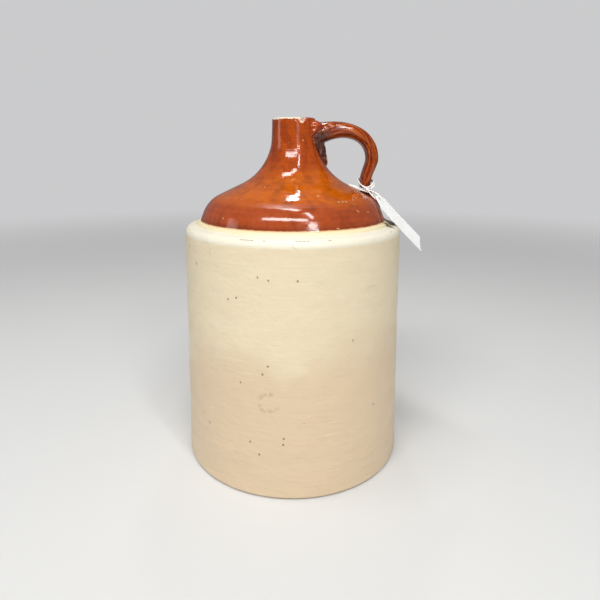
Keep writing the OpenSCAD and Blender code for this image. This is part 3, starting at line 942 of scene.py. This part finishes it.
# Sweep of floor and backdrop: points round it, radius, radius of the bend, height, rings on the flat
SWEEP_SIDES, SWEEP_REACH, SWEEP_BEND, SWEEP_TOP, SWEEP_RINGS = 96, 6.0, 2.5, 5.0, 15


class JUG_OT_stage(bpy.types.Operator):
    """Make the camera, the floor and backdrop and the studio lights"""

    bl_idname = "jug.stage"
    bl_label = "Stage"
    bl_options = {"REGISTER", "UNDO"}

    def execute(self, context):
        self.make_camera(context.scene)
        self.make_sweep()
        self.make_lights(context.scene)
        context.scene.view_settings.view_transform = "Standard"
        return {"FINISHED"}

    def make_camera(self, scene):
        lens = bpy.data.cameras.new("camera")
        lens.sensor_width = SENSOR
        lens.lens = SENSOR * FOCAL_PIXELS / FRAME_PIXELS
        lens.shift_x = (FRAME_PIXELS / 2 - CENTRE_PIXEL[0]) / FRAME_PIXELS
        lens.shift_y = (CENTRE_PIXEL[1] - FRAME_PIXELS / 2) / FRAME_PIXELS
        lens.clip_start = 0.05
        scene.camera = link("camera", lens)
        turn = math.radians(CAMERA_TURN)
        scene.camera.location = around(CAMERA_DISTANCE, -math.pi / 2 - turn, CAMERA_HEIGHT)
        scene.camera.rotation_euler = Euler((math.radians(90 - CAMERA_PITCH), 0, -turn))

    def make_sweep(self):
        """Round floor that curves up into a backdrop on every side."""
        line = [Vector((0.02 + 0.25 * i, 0)) for i in range(SWEEP_RINGS)]
        line += arc((SWEEP_REACH - SWEEP_BEND, SWEEP_BEND), SWEEP_BEND, -90, 0, 16)
        line.append(Vector((SWEEP_REACH, SWEEP_TOP)))
        points = [around(p.x, a, p.y) for p in line for a in turns(SWEEP_SIDES)]
        faces = [tuple(range(SWEEP_SIDES))] + bands(len(line), SWEEP_SIDES)
        sweep = build("sweep", (points, faces))
        sweep.data.materials.append(material("studio_floor"))

    def make_lights(self, scene):
        for name, spot, wide, deep, watts in LAMPS:
            light = bpy.data.lights.new(name, "AREA")
            light.shape, light.size, light.size_y, light.energy = "RECTANGLE", wide, deep, watts
            lamp = link(name, light)
            lamp.location = spot
            lamp.rotation_euler = (Vector((0, 0, 0.3)) - Vector(spot)).to_track_quat("-Z", "Y").to_euler()
        scene.world = bpy.data.worlds.new("studio")
        scene.world.use_nodes = True
        sky = scene.world.node_tree.nodes["Background"].inputs
        sky["Color"].default_value = (*finishes().sky, 1)
        sky["Strength"].default_value = WORLD_STRENGTH


# Strings

def ply_ring(travelled):
    """Outline of the string: three plies that turn as it goes on."""
    s = string_sizes()
    outline = []
    for angle in turns(STRING_SIDES):
        bulge = 0.80 + 0.20 * abs(math.cos(1.5 * (angle - math.tau * travelled / s.twist)))
        radius = bulge * s.string_d / 2
        outline.append((radius * math.cos(angle), radius * math.sin(angle)))
    return outline


def make_string(name, line, body, node):
    """Twisted string along a line."""
    piece = build(name, tube(line, ply_ring), 70)
    dress(piece, "cotton_string", body, [node])
    return piece


class JUG_OT_strings(bpy.types.Operator):
    """Make the string round the handle, its knot and the loop through the tag"""

    bl_idname = "jug.strings"
    bl_label = "String and knot"
    bl_options = {"REGISTER", "UNDO"}

    def execute(self, context):
        smooth = [smooth_route(route, STRING_STEPS) for route in (STRING_ROUTE, LOOP_ROUTE)]
        routes = [[KNOT_AT + p for p in line] for line in smooth]
        string = make_string("string", routes[0], "jug", "tie_string")
        knot = make_string("knot", self.knot_line(), "jug", "string_knot")
        make_string("loop", routes[1], "tag", "tag_loop")
        return {"FINISHED"}

    def knot_line(self):
        """Overhand knot, a three-lobed bend that closes on itself."""
        turned_by = Euler((math.radians(75), 0, math.radians(20))).to_matrix()
        line = []
        for i in range(KNOT_STEPS + 1):
            t = math.tau * i / KNOT_STEPS
            flat = math.sin(t) + 2 * math.sin(2 * t), math.cos(t) - 2 * math.cos(2 * t)
            bend = Vector((*flat, -1.25 * math.sin(3 * t)))
            line.append(KNOT_AT + turned_by @ (bend * string_sizes().knot_scale))
        return line


# Tag

def tag_axes():
    """Upper end, directions, sizes, hole and upper corners of the frame's tag."""
    shape = bmesh.new()
    shape.from_mesh(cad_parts["paper_tag"].data)
    bmesh.ops.remove_doubles(shape, verts=shape.verts, dist=1e-6)
    normal = max(shape.faces, key=lambda face: face.calc_area()).normal.copy()
    if normal.z < 0:
        normal.negate()
    sharp = [edge for edge in shape.edges if edge.is_manifold and edge.calc_face_angle() > 0.5]
    longest = max(sharp, key=lambda edge: edge.calc_length())
    along = (longest.verts[1].co - longest.verts[0].co).normalized()
    if along.x < 0:
        along.negate()
    across = normal.cross(along).normalized()
    corners = [(v.co.dot(along), v.co.dot(across), v.co.dot(normal)) for v in shape.verts]
    shape.free()
    lows, highs = [min(c) for c in zip(*corners)], [max(c) for c in zip(*corners)]
    middle = (lows[1] + highs[1]) / 2
    top = along * lows[0] + across * middle + normal * (lows[2] + highs[2]) / 2
    size = [high - low for low, high in zip(lows, highs)]
    hole = [c[0] for c in corners if c[0] < lows[0] + 0.0125 and abs(c[1] - middle) < 0.004]
    hole_at, hole_r = (min(hole) + max(hole)) / 2 - lows[0], (max(hole) - min(hole)) / 2
    shoulder = min(c[0] for c in corners if c[1] > highs[1] - 1e-5) - lows[0]
    end = [c[1] for c in corners if c[0] < lows[0] + 1e-5]
    return top, along, across, normal, size, hole_at, hole_r, shoulder, (max(end) - min(end)) / 2


class JUG_OT_tag(bpy.types.Operator):
    """Make the blank paper tag and the patches round its hole"""

    bl_idname = "jug.tag"
    bl_label = "Paper tag"
    bl_options = {"REGISTER", "UNDO"}

    def execute(self, context):
        top, along, across, normal, size, hole_at, hole_r, shoulder, half_end = tag_axes()
        long, wide, thick = size
        curl = string_sizes().curl

        def at(u, v, h):
            """A point of the card, which curls but stays flat round the hole."""
            away = max(0.0, u - 2 * hole_at) / long
            lift = curl * away**1.5 * (2 * v / wide) ** 2 + 0.6 * curl * away**3
            return top + along * u + across * v + normal * (lift + h)

        points, faces = [], []
        for h in (-thick / 2, thick / 2):
            for i in range(TAG_COLUMNS + 1):
                u = long * i / TAG_COLUMNS
                half = half_end + (wide / 2 - half_end) * min(1.0, u / shoulder)
                points += [at(u, half * (2 * j / TAG_ROWS - 1), h) for j in range(TAG_ROWS + 1)]
        layer = len(points) // 2

        def index(i, j):
            return i * (TAG_ROWS + 1) + j

        for i in range(TAG_COLUMNS):
            for j in range(TAG_ROWS):
                quad = (index(i, j), index(i + 1, j), index(i + 1, j + 1), index(i, j + 1))
                faces += [quad, tuple(layer + k for k in reversed(quad))]
        border = [(i, 0) for i in range(TAG_COLUMNS)]
        border += [(TAG_COLUMNS, j) for j in range(TAG_ROWS)]
        border += [(i, TAG_ROWS) for i in range(TAG_COLUMNS, 0, -1)]
        border += [(0, j) for j in range(TAG_ROWS, 0, -1)]
        for a, b in zip(border, border[1:] + border[:1]):
            faces.append((index(*a), layer + index(*a), layer + index(*b), index(*b)))
        middle = at(hole_at, 0, 0)
        tag = build("tag", (points, faces), 40)
        cut_away(tag, self.punch(middle, normal, hole_r), 40)
        dress(tag, "tag_card", "tag", ["paper_tag"])
        patches = []
        for side in (-1, 1):
            ring, quads = turned(self.patch_outline(hole_r), PATCH_SIDES)
            heights = [side * (thick / 2 + p.z) for p in ring]
            lifted = [middle + along * p.x + across * p.y + normal * h for p, h in zip(ring, heights)]
            patches.append((lifted, quads))
        dress(build("patches", joined(patches), 60), "tag_card", "tag", ["hole_patches"])
        return {"FINISHED"}

    def punch(self, middle, normal, radius):
        """Round cutter for the hole."""
        mesh = bpy.data.meshes.new("punch")
        shape = bmesh.new()
        bmesh.ops.create_cone(shape, cap_ends=True, segments=48, radius1=radius, radius2=radius, depth=0.01)
        shape.transform(Matrix.Translation(middle) @ normal.to_track_quat("Z", "Y").to_matrix().to_4x4())
        shape.to_mesh(mesh)
        shape.free()
        return link("punch", mesh)

    def patch_outline(self, hole_r):
        """Section of the thin ring of paper, its edge pressed down."""
        stands = string_sizes().patch_t
        outer = hole_r + string_sizes().patch_w
        low = [(hole_r - 0.00005, 0), (outer, 0), (outer - 0.00008, stands * 0.6)]
        high = [(outer - 0.0004, stands), (hole_r + 0.0003, stands), (hole_r, stands * 0.6)]
        return [Vector(p) for p in low + high]


# Clay

def leaning(radius, angle, z):
    """A point round the axis of the shoulder and neck, which lean towards the handle."""
    return Vector((radius * math.cos(angle) + neck_shift(z), radius * math.sin(angle), z))


def thrown_point(radius, angle, z):
    """A point of the thrown body, with the slight unevenness of hand work."""
    way = around(1, angle)
    broad = noise.noise(Vector((way.x * 1.1, way.y * 1.1, z * 7)))
    lumps = noise.noise(Vector((way.x * 5, way.y * 5, z * 42 + 3)))
    share = smooth_step(radius, 0.9 * BODY_R, BODY_R)
    inwards = share * (BODY_BROAD * (0.5 + broad) + BODY_LUMPS * (0.5 + lumps))
    return way * (radius - max(0.0, inwards)) + Vector((0, 0, z))


def skin_point(radius, angle, z):
    """A point of the shoulder and neck, with a chip in the rim."""
    way = around(1, angle)
    uneven = SKIN_UNEVEN * noise.noise(Vector((way.x * 2.2, way.y * 2.2, z * 24)))
    point = way * (radius + uneven * smooth_step(radius, 0.01, 0.03)) + Vector((neck_shift(z), 0, z))
    for middle in CHIPS:
        near = 1 - smooth_step((point - middle).length, CHIP_CORE, CHIP_EDGE)
        point -= near * (CHIP_IN * way + Vector((0, 0, CHIP_DOWN)))
    rim = smooth_step(z, JUG_H - 0.003, JUG_H)
    point.z -= rim * RIM_UNEVEN * (0.5 + noise.noise(Vector((way.x * 3.5, way.y * 3.5, 7.7))))
    return point


class JUG_OT_body(bpy.types.Operator):
    """Throw the body with its ledge, luting fillet and turned base"""

    bl_idname = "jug.body"
    bl_label = "Body"
    bl_options = {"REGISTER", "UNDO"}

    def execute(self, context):
        c = clay()
        lip_r = SEAM_R - c.dome_t - c.ledge_lip
        cavity_r = BODY_R - c.wall_t
        ledge_z = SEAM_H - c.ledge_drop
        under = SEAM_H - c.ledge_t
        outer = arc((BODY_R - c.heel_round, c.heel_round), c.heel_round, -90, 0, 8)
        side = [(BODY_R, BASE_T), (BODY_R, ledge_z), (SEAT_R + 0.0012, SEAM_H)]
        outer += rounded(side, [c.ledge_round], 10)
        top_r = radius_at(SEAT_H)
        bead = [(SEAT_R + 0.0006, SEAM_H + 0.00005), (SEAT_R + 0.0001, SEAM_H + 0.0003)]
        for a in (math.radians(9 * k) for k in range(1, 11)):
            bead.append((top_r + (SEAT_R - top_r) * math.cos(a), SEAM_H + (SEAT_H - SEAM_H) * math.sin(a)))
        bead += [(top_r - 0.001, SEAT_H + 0.0001), (top_r - 0.003, SEAM_H + 0.0005)]
        cavity = [(lip_r + 0.001, under), (cavity_r, under - (cavity_r - lip_r) / 2), (cavity_r, BASE_T)]
        inner = [Vector((lip_r, SEAM_H)), Vector((lip_r, under)), *rounded(cavity, [c.wall_t], 8)]
        inner.append(Vector((0, BASE_T)))
        foot = [(0, c.foot_rise), (BODY_R - 0.030, c.foot_rise), (BODY_R - 0.021, 0.0002)]
        foot.append((BODY_R - 0.016, 0))
        loop = foot + spread(outer, BODY_STEP) + bead + spread(inner, INSIDE_STEP)
        body = build("body", turned([Vector(p) for p in loop], BODY_SIDES, thrown_point), 55)
        dress(body, "cream_slip_glaze", "jug", ["base_slab", "body_wall", "luting_fillet"])
        body.data.materials.append(material("fired_clay"))
        for face in body.data.polygons:
            x, y, z = face.center
            if z < 0.0011 or math.hypot(x, y) < cavity_r + 0.001 and z < ledge_z - 0.001:
                face.material_index = 1
        return {"FINISHED"}


class JUG_OT_shoulder(bpy.types.Operator):
    """Throw the glazed shoulder and neck"""

    bl_idname = "jug.shoulder"
    bl_label = "Shoulder and neck"
    bl_options = {"REGISTER", "UNDO"}

    def execute(self, context):
        c = clay()
        skin = skin_line()
        outer = []
        for p in spread(skin, NECK_STEP):
            if p.y < JUG_H - c.lip_round - 0.001:
                proud = smooth_step(p.y, COLLAR_Z - 0.001, COLLAR_Z + 0.005)
                proud *= 1 - smooth_step(p.y, COLLAR_Z + 0.005, JUG_H - 0.008)
                outer.append(Vector((p.x + c.collar_proud * proud, p.y)))
        outer += arc((c.mouth_r - c.lip_round, JUG_H - c.lip_round), c.lip_round, 0, 90)
        outer += arc((c.bore_r + c.lip_round, JUG_H - c.lip_round), c.lip_round, 90, 180)
        inner = [Vector((c.bore_r, COLLAR_Z))]
        for a, b, d in reversed(list(zip(skin, skin[1:], skin[2:]))):
            if b.y < COLLAR_Z - 0.004:
                way = (d - a).normalized()
                inner.append(b + c.dome_t * Vector((-way.y, way.x)))
        inner.append(Vector((SEAM_R - c.dome_t, SEAM_H)))
        dome = build("shoulder", turned(outer + spread(inner, 0.006), NECK_SIDES, skin_point), 55)
        dress(dome, "brown_slip_glaze", "jug", ["shoulder_dome", "neck_collar"])
        return {"FINISHED"}


# Handle

def cubic(points, t):
    a, b, c, d = points
    return (1 - t) ** 3 * a + 3 * t * (1 - t) ** 2 * b + 3 * t * t * (1 - t) * c + t**3 * d


def strap_curves():
    """The two cubic curves of the strap's centre line in the XZ plane."""
    h, c = strap_sizes(), clay()
    root = Vector((c.bore_r + h.root_in, JUG_H - h.root_drop))
    bow = Vector((h.reach - (h.thick + h.foot_thick) / 4, JUG_H - h.bow_drop))
    foot = Vector((h.foot_at, height_at(h.foot_at) - h.foot_in))
    arch = [root, root + Vector((h.root_pull, h.arch_rise)), bow + Vector((0, h.bow_up)), bow]
    drop = [bow, bow - Vector((0, h.bow_down)), foot + Vector((-h.foot_back, h.foot_up)), foot]
    return arch, drop


def strap_mesh():
    """Points and faces of the pulled strap with finger grooves along it."""
    h = strap_sizes()
    arch, drop = strap_curves()
    shares = [i / (STRAP_RINGS - 1) for i in range(STRAP_RINGS)]
    middles = [cubic(arch, 2 * u) if u < 0.5 else cubic(drop, 2 * u - 1) for u in shares]
    points = []
    for i, (u, middle) in enumerate(zip(shares, middles)):
        ahead = (middles[min(STRAP_RINGS - 1, i + 1)] - middles[max(0, i - 1)]).normalized()
        eased = u * u * (3 - 2 * u)
        flare = max(0.0, 1 - u / 0.4) ** 3
        thick = h.thick + (h.foot_thick - h.thick) * eased + h.flare_t * flare
        wide = h.width + (h.foot_width - h.width) * eased + h.flare_w * flare
        drift = 0.10 * math.sin(5 * u + 1)
        away = smooth_step(u, 0.16, 0.42)
        for angle in turns(STRAP_SIDES):
            out = math.copysign(abs(math.cos(angle)) ** SQUARENESS, math.cos(angle)) * thick / 2
            side = math.copysign(abs(math.sin(angle)) ** SQUARENESS, math.sin(angle)) * wide / 2
            cut = sum(
                deep * math.exp(-(((angle - math.radians(at) - way * drift) / GROOVE_SPREAD) ** 2))
                for at, way, deep in STRAP_GROOVES
            )
            scale = 1 - h.groove * cut * (0.12 + 0.88 * away) / math.hypot(out, side)
            rough = 1 + (0.012 + 0.023 * away) * noise.noise(Vector((out * 60, side * 60, u * 9)))
            out, side = out * scale * rough, side * scale * rough
            points.append(Vector((middle.x - ahead.y * out, side, middle.y + ahead.x * out)))
    return capped(points, STRAP_SIDES)


def wad_mesh(z_middle, half_up, half_across, proud, seed):
    """Points and faces of a pad of clay pressed and smeared on the skin, towards the handle."""
    step = 0.001
    line = spread(skin_line(), step)
    start = min(range(len(line)), key=lambda i: abs(line[i].y - z_middle))
    tops, bottoms = [], []
    for i in range(WAD_RINGS + 1):
        reach = i / WAD_RINGS
        for angle in turns(WAD_SIDES):
            ragged = 1 + 0.16 * noise.noise(Vector((math.cos(angle) * 1.6, math.sin(angle) * 1.6, seed)))
            up = half_up * reach * ragged * math.cos(angle)
            k = min(len(line) - 2, max(1, start + round(up / step)))
            spot, ahead = line[k], (line[k + 1] - line[k - 1]).normalized()
            turn = half_across * reach * ragged * math.sin(angle) / spot.x
            lump = 1 + 0.22 * noise.noise(Vector((up * 160, turn * spot.x * 160, seed)))
            rise = proud * (1 - reach**2) ** 1.4 * lump - 0.0005 * reach
            for stack, lift in ((tops, rise), (bottoms, -WAD_UNDER)):
                p = spot + Vector((ahead.y, -ahead.x)) * lift
                stack.append(around(1, turn) * p.x + Vector((neck_shift(p.y), 0, p.y)))
    count = len(tops)
    faces = []
    for quad in bands(WAD_RINGS + 1, WAD_SIDES):
        faces += [quad, tuple(count + n for n in reversed(quad))]
    rim = count - WAD_SIDES
    for j in range(WAD_SIDES):
        k = (j + 1) % WAD_SIDES
        faces.append((rim + j, rim + k, count + rim + k, count + rim + j))
    return tops + bottoms, faces


def lump_mesh(middle, radii, seed):
    """Points and faces of one squeezed lump of clay."""
    shape = bmesh.new()
    bmesh.ops.create_icosphere(shape, subdivisions=4, radius=1.0)
    points = []
    for vert in shape.verts:
        way = vert.co.normalized()
        swell = 1 + 0.10 * noise.noise(way * 1.7 + Vector((seed, 0, 0)))
        swell += 0.08 * abs(noise.noise(way * 4.2 + Vector((seed, 5, 0))))
        points.append(middle + Vector([a * r / 1000 for a, r in zip(way, radii)]) * swell)
    faces = [tuple(v.index for v in face.verts) for face in shape.faces]
    shape.free()
    return points, faces


def root_lumps():
    """The lumps under the strap's root, those to a side on both sides."""
    placed = []
    for (x, y, z), radii in ROOT_LUMPS:
        for middle in mm([(x, y, z), (x, -y, z)][:2 if y else 1]):
            placed.append(lump_mesh(middle, radii, len(placed) * 3.1))
    return placed


def roll_mesh(thickness, route):
    """Points and faces of a roll of clay that thins out at both ends."""
    line = smooth_route(mm(route), 8)
    whole = route_length(line)

    def ring(travelled):
        end = min(travelled, whole - travelled) / whole
        thinned = thickness / 1000 * (0.35 + 0.65 * smooth_step(end, 0.0, 0.25))
        radius = thinned * (1 + 0.07 * math.sin(travelled * 700))
        return [(radius * math.cos(a), radius * math.sin(a)) for a in turns(12)]

    return tube(line, ring)


class JUG_OT_handle(bpy.types.Operator):
    """Pull the strap handle and smear its clay wads onto neck and shoulder"""

    bl_idname = "jug.handle"
    bl_label = "Handle"
    bl_options = {"REGISTER", "UNDO"}

    def execute(self, context):
        parts = [strap_mesh(), wad_mesh(*FOOT_WAD), wad_mesh(*NECK_WAD), *root_lumps()]
        parts += [roll_mesh(*roll) for roll in ROOT_ROLLS]
        handle = build("handle", joined(parts))
        blend = handle.modifiers.new("blend", "REMESH")
        blend.mode, blend.voxel_size = "VOXEL", strap_sizes().voxel
        soften = handle.modifiers.new("soften", "SMOOTH")
        soften.factor, soften.iterations = 0.5, 3
        cut_away(handle, self.make_core(), 60)
        if len(handle.data.polygons) < 1000:
            raise RuntimeError("the handle's strap and wads didn't blend")
        dress(handle, "handle_slip_glaze", "jug", ["handle_strap", "neck_wad", "foot_wad"])
        return {"FINISHED"}

    def make_core(self):
        """Inside of the shoulder and neck, which the handle's clay doesn't reach."""
        line = [Vector((max(0.001, p.x - 0.003), p.y)) for p in skin_line()]
        low, high = SEAM_H - 0.01, JUG_H + 0.01
        outline = [Vector((0, low)), Vector((line[0].x, low)), *line]
        outline += [Vector((line[-1].x, high)), Vector((0, high))]
        return build("core", turned(outline, 96, leaning))


class JUG_PT_panel(bpy.types.Panel):
    """Pieces, sizes and finishes of the jug"""

    bl_idname = "JUG_PT_panel"
    bl_label = "Stoneware jug"
    bl_space_type = "VIEW_3D"
    bl_region_type = "UI"
    bl_category = "Jug"

    def draw(self, context):
        for operator in OPERATORS:
            self.layout.operator(operator.bl_idname)
        for name in SETTINGS:
            group = getattr(context.scene, name)
            box = self.layout.box()
            for setting in group.__annotations__:
                box.prop(group, setting)


OPERATORS = [JUG_OT_stage, JUG_OT_strings, JUG_OT_tag, JUG_OT_body, JUG_OT_shoulder, JUG_OT_handle]
SETTINGS = {
    "jug_clay": ClaySizes,
    "jug_handle": HandleSizes,
    "jug_string": StringSizes,
    "jug_finishes": Finishes,
}


def register():
    for kind in [*SETTINGS.values(), *OPERATORS, JUG_PT_panel]:
        bpy.utils.register_class(kind)
    for name, kind in SETTINGS.items():
        setattr(bpy.types.Scene, name, bpy.props.PointerProperty(type=kind))


def unregister():
    for name in SETTINGS:
        delattr(bpy.types.Scene, name)
    for kind in reversed([*SETTINGS.values(), *OPERATORS, JUG_PT_panel]):
        bpy.utils.unregister_class(kind)


def main():
    register()
    bpy.ops.jug.stage()
    bpy.ops.jug.strings()
    bpy.ops.jug.tag()
    bpy.ops.jug.body()
    bpy.ops.jug.shoulder()
    bpy.ops.jug.handle()


if __name__ == "__main__":
    main()
